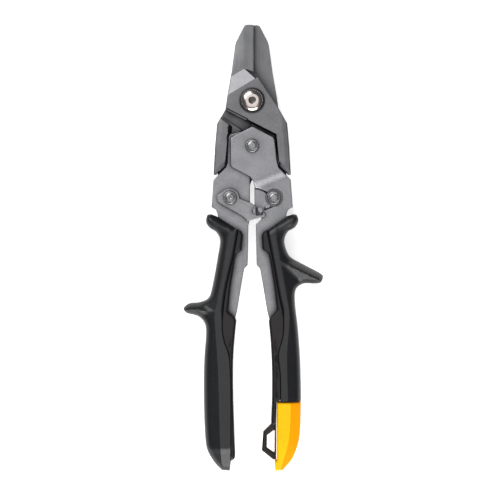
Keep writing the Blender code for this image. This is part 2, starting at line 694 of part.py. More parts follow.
def build():
    clear_scene()
    parts = collection("aviation_snips")
    helpers = collection("cutters")

    steel = material("handle_steel", (0.27, 0.27, 0.28), 0.42, 1.0)
    blade_steel = material("blade_steel", (0.2, 0.2, 0.21), 0.38, 1.0)
    polished = material("polished_steel", (0.62, 0.62, 0.63), 0.15, 1.0)
    zinc = material("zinc_plate", (0.45, 0.45, 0.46), 0.3, 1.0)
    spring_steel = material("spring_steel", (0.16, 0.16, 0.17), 0.35, 1.0)
    bronze = material("bush_bronze", (0.45, 0.3, 0.14), 0.4, 1.0)
    hard_black = material("grip_core_black", (0.022, 0.02, 0.02), 0.45, 0.0)
    soft_black = material("grip_cover_black", (0.014, 0.014, 0.015), 0.6, 0.0)
    yellow = material("cap_yellow", (0.95, 0.47, 0.0), 0.4, 0.0)

    snips = bpy.data.objects.new("snips", None)
    middle = (-(LEFT_X + RIGHT_X) / 2 * MM, -(TIP_Y + TAIL_Y) / 2 * MM, GRIP_TOP * MM)
    snips.location = middle
    parts.objects.link(snips)
    axes = {}
    for name, pivot in (
        ("left_handle_origin", CENTRE_PIVOT),
        ("handle_fold_axis", CENTRE_PIVOT),
        ("back_blade_axis", LEFT_PIVOT),
        ("front_blade_axis", RIGHT_PIVOT),
        ("latch_axis", LEFT_PIVOT),
    ):
        empty = bpy.data.objects.new(name, None)
        empty.parent = snips
        empty.location = (pivot[0] * MM, pivot[1] * MM, 0)
        parts.objects.link(empty)
        axes[name] = empty

    def place(thing, axis, look):
        """Hangs a finished piece on its joint's empty, where it was drawn."""
        parts.objects.link(thing)
        thing.parent = axes[axis]
        thing.location = -axes[axis].location
        thing.data.materials.append(look)
        thing.data.shade_smooth()
        thing.data.set_sharp_from_angle(angle=math.radians(30))

    washer_hole = BOLT_RADIUS + PIN_CLEARANCE
    washer_low = HUB_TOP + FACE_GAP
    place(blade("front_blade", helpers, PIN_CLEARANCE), "front_blade_axis", blade_steel)
    place(pivot_bolt(), "front_blade_axis", polished)
    place(ring("pivot_washer", MAIN_PIVOT, washer_hole, BOLT_WASHER_RADIUS, washer_low,
               washer_low + BOLT_WASHER_THICKNESS), "front_blade_axis", spring_steel)
    place(ring("nut_washer", MAIN_PIVOT, washer_hole, BOLT_WASHER_RADIUS,
               -washer_low - NUT_WASHER_THICKNESS, -washer_low), "front_blade_axis", zinc)
    place(pivot_nut(helpers), "front_blade_axis", zinc)
    back_blade = turn_over(blade("back_blade", helpers, BACK_BLADE_HOLE_PLAY))
    place(back_blade, "back_blade_axis", blade_steel)

    place(flat_plate("left_front_plate", helpers), "left_handle_origin", steel)
    place(turn_over(joggled_plate("left_back_plate", helpers)), "left_handle_origin", steel)
    stud_hole = cylinder("stud_hole", STUD_AT, STUD_SHANK_RADIUS + PIN_CLEARANCE, 0, 9, 16)
    front_notch = prism("right_front_notch", INNER_NOTCH, -9, 9)
    right_front = joggled_plate("right_front_plate", helpers, [stud_hole, front_notch])
    place(right_front, "handle_fold_axis", steel)
    back_notch = prism("right_back_notch", mirrored(INNER_NOTCH), -9, 9)
    right_back = turn_over(flat_plate("right_back_plate", helpers, [back_notch]))
    place(right_back, "handle_fold_axis", steel)
    place(spacer("left_spacer", -1, helpers), "left_handle_origin", zinc)
    place(spacer("right_spacer", 1, helpers), "handle_fold_axis", zinc)
    for piece, axis in rivets():
        place(piece, axis, zinc)

    place(ring("centre_bush", CENTRE_PIVOT, RIVET_RADIUS + PIN_CLEARANCE, BUSH_RADIUS, -BUSH_TOP,
               BUSH_TOP), "left_handle_origin", bronze)
    place(spring("return_spring"), "left_handle_origin", spring_steel)
    for name, side, axis in (
        ("left_stop_pin", -1, "left_handle_origin"),
        ("right_stop_pin", 1, "handle_fold_axis"),
    ):
        at = (side * STOP_PIN_AT[0], STOP_PIN_AT[1])
        place(cylinder(name, at, STOP_PIN_RADIUS, -BUSH_TOP, BUSH_TOP, 16), axis, zinc)

    place(latch(helpers), "latch_axis", steel)
    washer = ring("latch_washer", LEFT_PIVOT, RIVET_RADIUS + PIN_CLEARANCE, LATCH_WASHER_RADIUS,
                  PLATE_TOP + PIN_CLEARANCE, LATCH_LOW - PIN_CLEARANCE)
    place(washer, "left_handle_origin", zinc)
    place(latch_stud(helpers), "handle_fold_axis", zinc)

    left_cover = [LEFT_SEAM[0], *LEFT_COVER, *reversed(LEFT_SEAM)]
    place(grip("left_grip_cover", left_cover[:-1], -1, helpers), "left_handle_origin", soft_black)
    left_core = [*shifted(LEFT_SEAM, CLEARANCE), *LEFT_CORE_INNER, LEFT_CORE_TOP]
    place(grip("left_grip_core", left_core, -1, helpers, CORE_CHAMFER), "left_handle_origin",
          hard_black)
    right_cover = [RIGHT_SEAM[0], *RIGHT_COVER, *reversed(RIGHT_SEAM[1:])]
    place(grip("right_grip_cover", right_cover, 1, helpers), "handle_fold_axis", soft_black)
    place(right_core("right_grip_core", helpers), "handle_fold_axis", hard_black)
    place(prism("right_end_cap", END_CAP, -CAP_TOP, CAP_TOP, GRIP_CHAMFER), "handle_fold_axis",
          yellow)

    for helper in helpers.objects:
        helper.parent = snips


build()
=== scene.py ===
"""Looks of the aviation snips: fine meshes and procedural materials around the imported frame.

Lengths in the outlines are millimetres in the tool's own plane: the main bolt is at (0, 0), +Y runs
to the tip of the blades and z = 0 is the tool's mid-plane. place() carries them to the frame.
"""

import math

import bpy
import bmesh
import numpy as np
from mathutils import Matrix, Vector
from mathutils.geometry import delaunay_2d_cdt


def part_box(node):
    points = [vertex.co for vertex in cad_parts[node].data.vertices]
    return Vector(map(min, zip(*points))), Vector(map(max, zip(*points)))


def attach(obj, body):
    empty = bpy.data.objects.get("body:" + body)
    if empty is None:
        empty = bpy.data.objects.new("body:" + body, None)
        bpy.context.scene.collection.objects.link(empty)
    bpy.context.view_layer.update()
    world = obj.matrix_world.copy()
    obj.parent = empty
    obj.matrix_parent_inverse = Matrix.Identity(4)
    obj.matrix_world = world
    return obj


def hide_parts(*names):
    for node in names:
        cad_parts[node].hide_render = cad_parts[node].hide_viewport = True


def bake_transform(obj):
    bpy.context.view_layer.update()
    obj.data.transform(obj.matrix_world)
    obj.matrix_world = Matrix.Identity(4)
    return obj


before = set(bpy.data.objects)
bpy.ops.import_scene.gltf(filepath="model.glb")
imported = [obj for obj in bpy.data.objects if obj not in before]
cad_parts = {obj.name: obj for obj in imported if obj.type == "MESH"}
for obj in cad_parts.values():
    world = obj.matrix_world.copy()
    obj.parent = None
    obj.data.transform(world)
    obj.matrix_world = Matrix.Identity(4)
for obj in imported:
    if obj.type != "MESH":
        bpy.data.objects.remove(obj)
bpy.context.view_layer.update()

MM = 0.001


def middle_of(node):
    low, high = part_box(node)
    return (Vector(low) + Vector(high)) / 2


# The tool's plane in the frame: the bolt gives X and Y, and the middle of a grip gives Z.
BOLT = middle_of("pivot_bolt")
TO_FRAME = Vector((BOLT.x, BOLT.y, middle_of("left_grip_cover").z))

# The three rivets.
CENTRE = (0.0, -25.3)
LEFT = (-12.3, -54.2)
RIGHT = (12.3, -54.2)


# ---------------------------------------------------------------- outline tools


def curve_through(points, steps=6):
    """Points along a smooth curve through the given ones, its ends included."""
    ends = [points[0], *points, points[-1]]
    found = []
    for before, start, end, after in zip(ends, ends[1:], ends[2:], ends[3:]):
        for step in range(steps):
            t = step / steps
            found.append(tuple(
                0.5 * (2 * b + (c - a) * t + (2 * a - 5 * b + 4 * c - d) * t * t
                       + (3 * b - a - 3 * c + d) * t ** 3)
                for a, b, c, d in zip(before, start, end, after)))
    return [*found, tuple(points[-1])]


def arc(centre, radius, start=0.0, end=360.0, steps=48):
    angles = np.radians(np.linspace(start, end, steps + 1))
    points = [(centre[0] + radius * math.cos(a), centre[1] + radius * math.sin(a)) for a in angles]
    return points[:-1] if abs(end - start) == 360 else points


def mirrored(outline):
    return [(-x, y) for x, y in reversed(outline)]


def shifted(outline, dx):
    return [(x + dx, y) for x, y in outline]


def resampled(loop, spacing):
    """The closed loop with its corners kept and no side longer than spacing."""
    found = []
    for (x0, y0), (x1, y1) in zip(loop, loop[1:] + loop[:1]):
        count = max(1, math.ceil(math.hypot(x1 - x0, y1 - y0) / spacing))
        found += [(x0 + (x1 - x0) * i / count, y0 + (y1 - y0) * i / count) for i in range(count)]
    return found


def distance_to(points, loops):
    """Distance from each point to the nearest side of the closed loops."""
    nearest = np.full(len(points), 1e9)
    for loop in loops:
        a = np.array(loop)
        b = np.roll(a, -1, axis=0)
        nearest = np.minimum(nearest, distance_to_sides(points, a, b))
    return nearest


def distance_to_sides(points, a, b):
    side = b - a
    length = np.maximum((side ** 2).sum(axis=1), 1e-12)
    nearest = np.full(len(points), 1e9)
    for start, along, size in zip(a, side, length):
        share = np.clip(((points - start) @ along) / size, 0, 1)
        gap = points - start - share[:, None] * along
        nearest = np.minimum(nearest, np.hypot(gap[:, 0], gap[:, 1]))
    return nearest


def distance_to_line(points, line):
    a = np.array(line)
    return distance_to_sides(points, a[:-1], a[1:])


def beside(points, start, end):
    """Distance of each point to the left of the line from start to end."""
    (x0, y0), (x1, y1) = start, end
    return ((points[:, 1] - y0) * (x1 - x0) - (points[:, 0] - x0) * (y1 - y0)) / math.hypot(
        x1 - x0, y1 - y0)


def inside(points, loops):
    """True for each point inside the outer loop and outside the holes."""
    within = np.zeros(len(points), bool)
    x, y = points[:, 0], points[:, 1]
    for loop in loops:
        a = np.array(loop)
        b = np.roll(a, -1, axis=0)
        for (x0, y0), (x1, y1) in zip(a, b):
            if y0 == y1:
                continue
            crosses = (y0 > y) != (y1 > y)
            within ^= crosses & (x < (x1 - x0) * (y - y0) / (y1 - y0) + x0)
    return within


def flat(level):
    """The height function of a level face."""
    return lambda points, depth: np.full(len(points), level)


def mirrored_bottom(top):
    """The height function of an underside that mirrors a top."""
    return lambda points, depth: -top(points, depth)


def rounding(distance, radius):
    """How far a rounded rim of that radius has dropped at a distance in from its edge."""
    inner = np.clip(radius - distance, 0, radius)
    return radius - np.sqrt(np.maximum(radius ** 2 - inner ** 2, 0))


def ramp(values, low, high):
    """0 below low, 1 above high, smooth between."""
    share = np.clip((values - low) / (high - low), 0, 1)
    return share * share * (3 - 2 * share)


# ---------------------------------------------------------------- mesh tools


def link(thing):
    bpy.context.scene.collection.objects.link(thing)
    return thing


def relief(name, loops, top, bottom, cell=0.9, rings=(0.06, 0.16, 0.3), creases=(), sharp=42):
    """A closed solid over a flat outline with holes. top and bottom give its heights from the
    points and their distance from the outline. rings are extra rows of points just inside every
    edge, and the mesh has its edges along the creases, which stay sharp."""
    loops = [resampled(loop, cell) for loop in loops]
    edge_points = np.array([p for loop in loops for p in loop])
    found = [grid_points(loops, edge_points, max(rings, default=0.0) + cell * 0.35, cell)]
    for depth in rings:
        found += [row_inside(loops, loop, depth, sign) for loop in loops for sign in (-1, 1)]
    inner = np.concatenate(found)
    lines = [resampled_line(line, cell) for line in creases]
    for line in lines:
        inner = inner[distance_to_line(inner, line) > cell * 0.3]
    inner = inner[one_each(inner, 0.04)]
    sides, start = [], 0
    for loop in loops:
        count = len(loop)
        sides += [(start + i, start + (i + 1) % count) for i in range(count)]
        start += count
    groups = [edge_points]
    for line in lines:
        sides += [(start + i, start + i + 1) for i in range(len(line) - 1)]
        start += len(line)
        groups.append(np.array(line))
    places = [Vector(p) for p in np.concatenate([*groups, inner])]
    points, edges, faces = delaunay_2d_cdt(places, sides, [], 0, 1e-5)[:3]
    points = np.array([tuple(p) for p in points])
    faces = np.array([tuple(face) for face in faces])
    faces = faces[inside(points[faces].mean(axis=1), loops)]
    used = np.unique(faces)
    index = np.full(len(points), -1)
    index[used] = np.arange(len(used))
    points, faces = points[used], index[faces]
    a, b, c = points[faces[:, 0]], points[faces[:, 1]], points[faces[:, 2]]
    turned_back = (b - a)[:, 0] * (c - a)[:, 1] - (b - a)[:, 1] * (c - a)[:, 0] < 0
    faces[turned_back] = faces[turned_back][:, ::-1]
    depth = distance_to(points, loops)
    count = len(points)
    vertices = [(x, y, z) for (x, y), z in zip(points, top(points, depth))]
    vertices += [(x, y, z) for (x, y), z in zip(points, bottom(points, depth))]
    solid = [tuple(face) for face in faces]
    solid += [(c + count, b + count, a + count) for a, b, c in faces]
    ways = {(face[i], face[(i + 1) % 3]) for face in faces.tolist() for i in range(3)}
    solid += [(b, a, a + count, b + count) for a, b in ways if (b, a) not in ways]
    thing = solid_of(name, vertices, solid, sharp)
    keep_sharp(thing.data, lines)
    return thing


def grid_points(loops, edge_points, margin, cell):
    lows, highs = edge_points.min(axis=0), edge_points.max(axis=0)
    columns = np.arange(lows[0] + cell / 2, highs[0], cell)
    rows = np.arange(lows[1] + cell / 2, highs[1], cell * 0.9)
    grid = [(x + (cell / 2 if i % 2 else 0), y) for i, y in enumerate(rows) for x in columns]
    grid = np.array(grid)
    grid = grid[inside(grid, loops)]
    return grid[distance_to(grid, loops) > margin]


def row_inside(loops, loop, depth, sign):
    """Points at a depth inside the outline, one for each point of this loop."""
    a = np.array(loop)
    along = np.roll(a, -1, axis=0) - np.roll(a, 1, axis=0)
    along /= np.maximum(np.hypot(along[:, 0], along[:, 1])[:, None], 1e-9)
    row = a + np.stack([-along[:, 1], along[:, 0]], axis=1) * depth * sign
    row = row[inside(row, loops)]
    return row[distance_to(row, loops) > depth * 0.9]


def resampled_line(line, spacing):
    closed = resampled(list(line), spacing)
    last = len(closed)
    for i, point in enumerate(closed):
        if point == tuple(line[-1]):
            last = i + 1
    return closed[:last]


def one_each(points, size):
    """Marks one point in every square of this size."""
    _, first = np.unique(np.round(points / size).astype(np.int64), axis=0, return_index=True)
    keep = np.zeros(len(points), bool)
    keep[first] = True
    return keep


def keep_sharp(mesh, lines):
    """Marks the mesh's edges along these lines as sharp."""
    if not lines:
        return
    count = len(mesh.vertices)
    places = np.empty(count * 3)
    mesh.vertices.foreach_get("co", places)
    places = (places.reshape(-1, 3) - np.array(TO_FRAME)) / MM
    on_line = np.zeros(count, bool)
    for line in lines:
        on_line |= distance_to_line(places[:, :2], line) < 0.003
    ends = np.empty(len(mesh.edges) * 2, int)
    mesh.edges.foreach_get("vertices", ends)
    ends = ends.reshape(-1, 2)
    level = np.hypot(*(places[ends[:, 0], :2] - places[ends[:, 1], :2]).T) > 1e-4
    sharp = on_line[ends].all(axis=1) & level
    values = np.zeros(len(mesh.edges), bool)
    if "sharp_edge" in mesh.attributes:
        mesh.attributes["sharp_edge"].data.foreach_get("value", values)
    else:
        mesh.attributes.new("sharp_edge", "BOOLEAN", "EDGE")
    mesh.attributes["sharp_edge"].data.foreach_set("value", values | sharp)


def solid_of(name, vertices, faces, sharp):
    mesh = bpy.data.meshes.new(name)
    mesh.from_pydata([place(v) for v in vertices], [], faces)
    shape = bmesh.new()
    shape.from_mesh(mesh)
    bmesh.ops.remove_doubles(shape, verts=shape.verts, dist=1e-7)
    bmesh.ops.recalc_face_normals(shape, faces=shape.faces)
    shape.to_mesh(mesh)
    shape.free()
    mesh.shade_smooth()
    mesh.set_sharp_from_angle(angle=math.radians(sharp))
    return link(bpy.data.objects.new(name, mesh))


def place(vertex):
    x, y, z = vertex
    return TO_FRAME.x + x * MM, TO_FRAME.y + y * MM, TO_FRAME.z + z * MM


def turn_over(thing):
    """Turns a finished piece over about the tool's long axis."""
    about = Matrix.Translation(TO_FRAME)
    thing.data.transform(about @ Matrix.Rotation(math.pi, 4, "Y") @ about.inverted())
    return thing


def turned(name, profile, centre, sides=96, sharp=35):
    """A turned piece from (radius, height) points down its outer side, from axis to axis."""
    vertices, rows = [], []
    for radius, height in profile:
        if radius < 1e-6:
            rows.append([len(vertices)] * sides)
            vertices.append((centre[0], centre[1], height))
            continue
        rows.append(list(range(len(vertices), len(vertices) + sides)))
        for i in range(sides):
            a = 2 * math.pi * i / sides
            x, y = centre[0] + radius * math.cos(a), centre[1] + radius * math.sin(a)
            vertices.append((x, y, height))
    faces = []
    for upper, lower in zip(rows, rows[1:]):
        for i in range(sides):
            j = (i + 1) % sides
            face = [upper[i], lower[i], lower[j], upper[j]]
            face = [v for n, v in enumerate(face) if v not in face[:n]]
            if len(face) > 2:
                faces.append(face)
    return solid_of(name, vertices, faces, sharp)


def joined(name, pieces):
    """One object from several, with the first one's name changed."""
    whole = bmesh.new()
    for piece in pieces:
        whole.from_mesh(piece.data)
    first = pieces[0]
    whole.to_mesh(first.data)
    whole.free()
    for piece in pieces[1:]:
        bpy.data.objects.remove(piece, do_unlink=True)
    first.name = name
    return first


# ---------------------------------------------------------------- materials


class Nodes:
    """Short names for building one material's node tree."""

    def __init__(self, name):
        self.material = bpy.data.materials.new(name)
        self.material.use_nodes = True
        self.tree = self.material.node_tree
        self.shader = self.tree.nodes["Principled BSDF"]

    def add(self, kind, **values):
        node = self.tree.nodes.new("ShaderNode" + kind)
        for key, value in values.items():
            if key in node.inputs.keys():
                node.inputs[key].default_value = value
            else:
                setattr(node, key, value)
        return node

    def link(self, start, end):
        self.tree.links.new(start, end)

    def place(self, stretch=(1, 1, 1)):
        coordinates = self.add("TexCoord")
        mapping = self.add("Mapping")
        mapping.inputs["Scale"].default_value = stretch
        self.link(coordinates.outputs["Object"], mapping.inputs["Vector"])
        return mapping.outputs["Vector"]

    def noise(self, scale, detail=3, stretch=(1, 1, 1), rough=0.55):
        texture = self.add("TexNoise", Scale=scale, Detail=detail, Roughness=rough)
        self.link(self.place(stretch), texture.inputs["Vector"])
        return texture.outputs["Fac"]

    def ramp(self, factor, stops):
        node = self.add("ValToRGB")
        elements = node.color_ramp.elements
        while len(elements) < len(stops):
            elements.new(0.5)
        for element, (position, colour) in zip(elements, stops):
            element.position = position
            element.color = (*colour, 1)
        self.link(factor, node.inputs["Fac"])
        return node.outputs["Color"]

    def painted_crevice_shade(self, colour, reach, dark):
        """Painted shade: the colour darkened where other surfaces stand close, standing in for the
        shade that falls in gaps, steps and recesses.
        """
        near = self.add("AmbientOcclusion", Distance=reach)
        near.samples = 8
        shade = self.ramp(near.outputs["AO"], [(0.35, dark), (0.95, (1, 1, 1))])
        return self.mix(1.0, colour, shade, "MULTIPLY")

    def span(self, factor, low, high, start=0.3, end=0.7):
        node = self.add("MapRange")
        limits = {"From Min": start, "From Max": end, "To Min": low, "To Max": high}
        for key, value in limits.items():
            node.inputs[key].default_value = value
        self.link(factor, node.inputs["Value"])
        return node.outputs["Result"]

    def mix(self, factor, first, second, blend="MIX"):
        node = self.add("Mix", data_type="RGBA", blend_type=blend)
        for value, key in ((factor, 0), (first, 6), (second, 7)):
            if isinstance(value, (int, float)):
                node.inputs[key].default_value = value
            elif isinstance(value, tuple):
                node.inputs[key].default_value = (*value, 1)
            else:
                self.link(value, node.inputs[key])
        return node.outputs[2]

    def bump(self, height, strength, distance):
        node = self.add("Bump", Strength=strength, Distance=distance)
        self.link(height, node.inputs["Height"])
        return node.outputs["Normal"]


def blasted_steel(name, dark, light):
    """Bead-blasted steel: fine pitted grain over a slow change of tone."""
    m = Nodes(name)
    cloud = m.ramp(m.noise(90, 3), [(0.35, dark), (0.65, light)])
    speck = m.ramp(m.noise(1500, 3, rough=0.7),
                   [(0.3, (0.84, 0.84, 0.84)), (0.7, (1.12, 1.12, 1.13))])
    colour = m.mix(0.9, cloud, speck, "MULTIPLY")
    # Painted shade: within 3.5 mm of other surfaces the colour darkens towards dark grey, standing
    # in for the shade in gaps and steps.
    m.link(m.painted_crevice_shade(colour, 0.0035, (0.2, 0.2, 0.21)), m.shader.inputs["Base Color"])
    m.shader.inputs["Metallic"].default_value = 1.0
    m.link(m.span(m.noise(1100, 3), 0.34, 0.46), m.shader.inputs["Roughness"])
    m.link(m.bump(m.noise(2600, 3, rough=0.7), 0.35, 0.00004), m.shader.inputs["Normal"])
    return m.material


GROUND_FROM = (14, 19)  # the blades' grinding fades in between these Y


def ground_steel(name, dark, light):
    """Blade steel: blasted at the hub and ground lengthwise on the cutting part."""
    m = Nodes(name)
    split = m.add("SeparateXYZ")
    m.link(m.place(), split.inputs["Vector"])
    cut = m.span(split.outputs["Y"], 0, 1, *(TO_FRAME.y + y * MM for y in GROUND_FROM))
    lines = m.noise(1500, 4, (1, 0.03, 1), 0.7)
    grain = m.noise(1500, 3, rough=0.7)
    pattern = m.mix(cut, grain, lines)
    cloud = m.ramp(m.noise(90, 3), [(0.35, dark), (0.65, light)])
    marks = m.ramp(pattern, [(0.3, (0.78, 0.78, 0.78)), (0.7, (1.14, 1.14, 1.15))])
    colour = m.mix(0.9, cloud, marks, "MULTIPLY")
    # Painted shade: within 8 mm of other surfaces the colour darkens towards near black, standing
    # in for the shade round the hub and tang.
    m.link(m.painted_crevice_shade(colour, 0.008, (0.1, 0.1, 0.11)), m.shader.inputs["Base Color"])
    m.shader.inputs["Metallic"].default_value = 1.0
    m.link(m.span(pattern, 0.3, 0.44), m.shader.inputs["Roughness"])
    m.link(m.bump(pattern, 0.35, 0.00004), m.shader.inputs["Normal"])
    return m.material


def polished(name, colour, roughness):
    """Polished nickel plate with faint wipe marks."""
    m = Nodes(name)
    wipe = m.noise(500, 3, (1, 0.2, 1))
    darker = tuple(c * 0.9 for c in colour)
    m.link(m.ramp(wipe, [(0.3, darker), (0.7, colour)]), m.shader.inputs["Base Color"])
    m.shader.inputs["Metallic"].default_value = 1.0
    m.link(m.span(wipe, roughness * 0.8, roughness * 1.3), m.shader.inputs["Roughness"])
    return m.material


def plated(name, dark, light, roughness=(0.22, 0.36)):
    """Headed rivets and small hardware: satin plate, with the tool marks of heading."""
    m = Nodes(name)
    m.link(m.ramp(m.noise(900, 4), [(0.3, dark), (0.7, light)]), m.shader.inputs["Base Color"])
    m.shader.inputs["Metallic"].default_value = 1.0
    m.link(m.span(m.noise(1800, 3), *roughness), m.shader.inputs["Roughness"])
    m.link(m.bump(m.noise(1400, 3), 0.3, 0.00005), m.shader.inputs["Normal"])
    return m.material


def moulded(name, dark, light, roughness, specular=0.5, grain=2000, bump=0.25):
    """Moulded plastic or elastomer: fine sparked grain and a slow change of tone."""
    m = Nodes(name)
    slow = m.ramp(m.noise(70, 3), [(0.3, dark), (0.7, light)])
    fine = m.ramp(m.noise(1300, 2), [(0.3, (0.9, 0.9, 0.9)), (0.7, (1.08, 1.08, 1.08))])
    m.link(m.mix(0.9, slow, fine, "MULTIPLY"), m.shader.inputs["Base Color"])
    m.link(m.span(m.noise(600, 3), *roughness), m.shader.inputs["Roughness"])
    sparks = m.add("TexVoronoi", Scale=grain)
    m.link(m.place(), sparks.inputs["Vector"])
    m.link(m.bump(sparks.outputs["Distance"], bump, 0.00005), m.shader.inputs["Normal"])
    m.shader.inputs["Specular IOR Level"].default_value = specular
    return m.material


STEEL = blasted_steel("handle_steel", (0.215, 0.215, 0.222), (0.265, 0.265, 0.274))
BLADE = ground_steel("blade_steel", (0.145, 0.145, 0.15), (0.175, 0.175, 0.181))
NICKEL = polished("polished_nickel", (0.55, 0.485, 0.46), 0.2)
# Painted shade: near-black plate for the bottom of the bolt's socket, standing in for the shade
# inside the deep socket.
SOCKET_PAINTED_SHADE = plated("socket_painted_shade", (0.06, 0.055, 0.052), (0.12, 0.11, 0.108), (0.3, 0.42))
PLATED = plated("plated_steel", (0.17, 0.17, 0.175), (0.29, 0.29, 0.296))
# Dark steel for the spring. On the washer round the bolt head, the near-black tone also stands in
# for the shadow line there, as painted shade.
DARK_STEEL_AND_SHADE = plated("dark_spring_steel_and_shade", (0.02, 0.02, 0.022), (0.045, 0.045, 0.047), (0.3, 0.45))
BRONZE = plated("sintered_bronze", (0.33, 0.2, 0.09), (0.45, 0.3, 0.14), (0.4, 0.5))
CORE = moulded("core_nylon", (0.0085, 0.0065, 0.0065), (0.0115, 0.009, 0.009), (0.42, 0.5), 0.32)
COVER = moulded("cover_elastomer", (0.006, 0.0063, 0.0074), (0.0078, 0.0081, 0.0094), (0.34, 0.42),
                0.44)
YELLOW = moulded("cap_yellow", (0.95, 0.48, 0.0004), (1.0, 0.52, 0.0005), (0.36, 0.44), 0.15, 1800,
                 0.15)
# Painted shade: a darker, more orange copy of the cap's yellow, for its sloping outer facet.
CAP_SHADED_ORANGE = moulded("cap_painted_shade", (0.93, 0.33, 0.0004), (0.98, 0.36, 0.0005), (0.36, 0.44), 0.15, 1800,
                 0.15)


def dress(piece, body, look, slot, *nodes):
    """Gives a new piece its body and material, and hides the CAD nodes it stands for. The slot is
    not used.
    """
    piece.data.materials.clear()
    piece.data.materials.append(look)
    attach(piece, body)
    if nodes:
        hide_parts(*nodes)
    return piece


def finish_node(node, look, bevel=0.0):
    """A CAD node that is shown as it is, with its material and softened edges."""
    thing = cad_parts[node]
    for slot in thing.material_slots:
        slot.material = look
    if not thing.material_slots:
        thing.data.materials.append(look)
    weld = thing.modifiers.new("weld", "WELD")
    weld.merge_threshold = 0.000002
    if bevel:
        flat = thing.modifiers.new("flat", "DECIMATE")
        flat.decimate_type = "DISSOLVE"
        flat.angle_limit = math.radians(1.0)
        rim = thing.modifiers.new("rim", "BEVEL")
        rim.width = bevel * MM
        rim.segments = 2
        rim.limit_method = "ANGLE"
        rim.angle_limit = math.radians(25)
        rim.use_clamp_overlap = True
    return thing


# ---------------------------------------------------------------- grips

LEFT_SEAM = curve_through([(-7.7, -72.1), (-10.2, -86.2), (-14.4, -104.4), (-16.2, -118.2),
                           (-16.6, -127.7), (-15.2, -135.1), (-12.8, -142.5), (-11.8, -159.0),
                           (-11.8, -201.0)])
LEFT_COVER = [
    (-10.2, -70.7),
    (-19.0, -65.0),
    *curve_through([(-22.6, -63.5), (-25.0, -63.9), (-25.7, -68.0), (-23.6, -71.1),
                    (-19.9, -73.5), (-17.9, -78.0), (-19.0, -86.2), (-22.3, -104.4),
                    (-24.6, -110.4), (-29.6, -112.6), (-35.1, -113.2), (-38.3, -115.8),
                    (-36.4, -118.6), (-30.4, -120.2), (-26.6, -123.9), (-25.7, -130.0),
                    (-26.8, -145.3), (-27.0, -164.0), (-26.6, -181.0), (-25.4, -194.0),
                    (-21.4, -201.8), (-17.0, -206.6)]),
    (-12.6, -207.0),
]
LEFT_CORE_INNER = [
    *curve_through([(-11.3, -200.6), (-9.5, -198.6), (-9.8, -190.0), (-10.6, -164.0),
                    (-10.6, -145.3), (-9.7, -131.8), (-8.8, -123.0)]),
    (-9.6, -120.6),
    (-13.4, -117.6),
    (-12.0, -104.4),
    (-9.6, -88.6),
    (-8.8, -85.6),
    (-5.9, -83.5),
    (-5.1, -75.0),
    (-6.0, -73.0),
]
RIGHT_SEAM = curve_through([(8.2, -72.4), (10.4, -83.8), (14.7, -107.5), (17.2, -120.0),
                            (17.2, -131.0), (14.6, -141.5), (15.6, -153.0), (15.8, -167.8)])
RIGHT_COVER = [
    (19.4, -64.5),
    *curve_through([(22.6, -63.5), (24.9, -63.9), (25.8, -67.2), (23.8, -70.8),
                    (19.7, -73.4), (18.0, -78.5), (19.6, -84.6), (22.4, -88.0),
                    (30.6, -92.4), (38.4, -96.5), (39.65, -98.6), (38.2, -101.6), (34.6, -102.2),
                    (28.7, -102.2), (24.4, -105.4), (23.9, -113.0), (25.5, -127.0),
                    (26.7, -143.0), (27.2, -158.0)]),
    (27.3, -167.8),
]
RIGHT_CORE_INNER = [
    (6.3, -73.4),
    (5.3, -75.2),
    (5.7, -83.0),
    (8.9, -85.2),
    (9.8, -88.6),
    (12.2, -103.4),
    (13.8, -116.8),
    (9.8, -121.2),
    *curve_through([(9.3, -123.4), (10.4, -135.1), (11.1, -150.0), (11.1, -166.0),
                    (10.6, -179.0)]),
    (11.1, -181.0),
    (13.2, -181.0),
]
END_CAP = [
    (13.9, -168.4),
    (27.2, -168.4),
    *curve_through([(27.0, -180.0), (26.0, -190.0), (22.5, -199.6), (17.2, -206.0)]),
    (12.9, -206.7),
    (12.6, -201.4),
    (13.9, -200.7),
]
LOOP_OUTLINE = [(10.6, -180.6), (6.2, -184.9), (5.4, -195.4), (11.9, -200.6), (13.4, -200.2),
                (13.4, -169.4), (11.3, -169.4)]
LOOP_OPENING = [(12.7, -184.4), (12.5, -196.3), (11.9, -196.5), (8.2, -193.9), (8.3, -186.9),
                (11.9, -184.2)]

GRIP_TOP = 9.0
COVER_TOP = GRIP_TOP - 0.1
COVER_RIM = 3.0
TIP_FROM = -193
TIP_SLOPE = 0.42
CORE_TOP = GRIP_TOP - 0.5
CORE_RIBS = (2.1, 2.8)  # distances in from the core's inner side
RIB_HALF = 0.3
RIB_HEIGHT = 0.25
END_FROM = -190
CAP_TOP = 8.6
CAP_RIM = 1.1
LOOP_TOP = 3.2
SEAM_GAP = 0.12

# Each cover has a flat band beside the seam, out to this ridge, and slopes away outside it.
LEFT_RIDGE = curve_through([(-12.6, -72.0), (-14.2, -84.0), (-17.6, -104.4), (-20.7, -118.0),
                            (-20.7, -125.0), (-19.6, -140.0), (-18.8, -156.0), (-18.2, -180.0),
                            (-17.6, -195.0), (-16.6, -206.0)])
RIGHT_RIDGE = curve_through([(12.8, -72.0), (14.6, -84.0), (18.3, -104.4), (20.6, -118.0),
                             (20.5, -127.0), (19.4, -142.0), (19.8, -163.0), (19.8, -168.0)])
CAP_RIDGE = curve_through([(21.3, -168.4), (21.2, -180.0), (19.8, -192.0), (15.6, -206.0)])


def beyond(points, ridge, side):
    """How far each point is outside a ridge that runs down the tool, on the side with that sign."""
    ridge = np.array(ridge[::-1])
    at = np.interp(points[:, 1], ridge[:, 1], ridge[:, 0])
    return np.maximum((points[:, 0] - at) * side, 0)


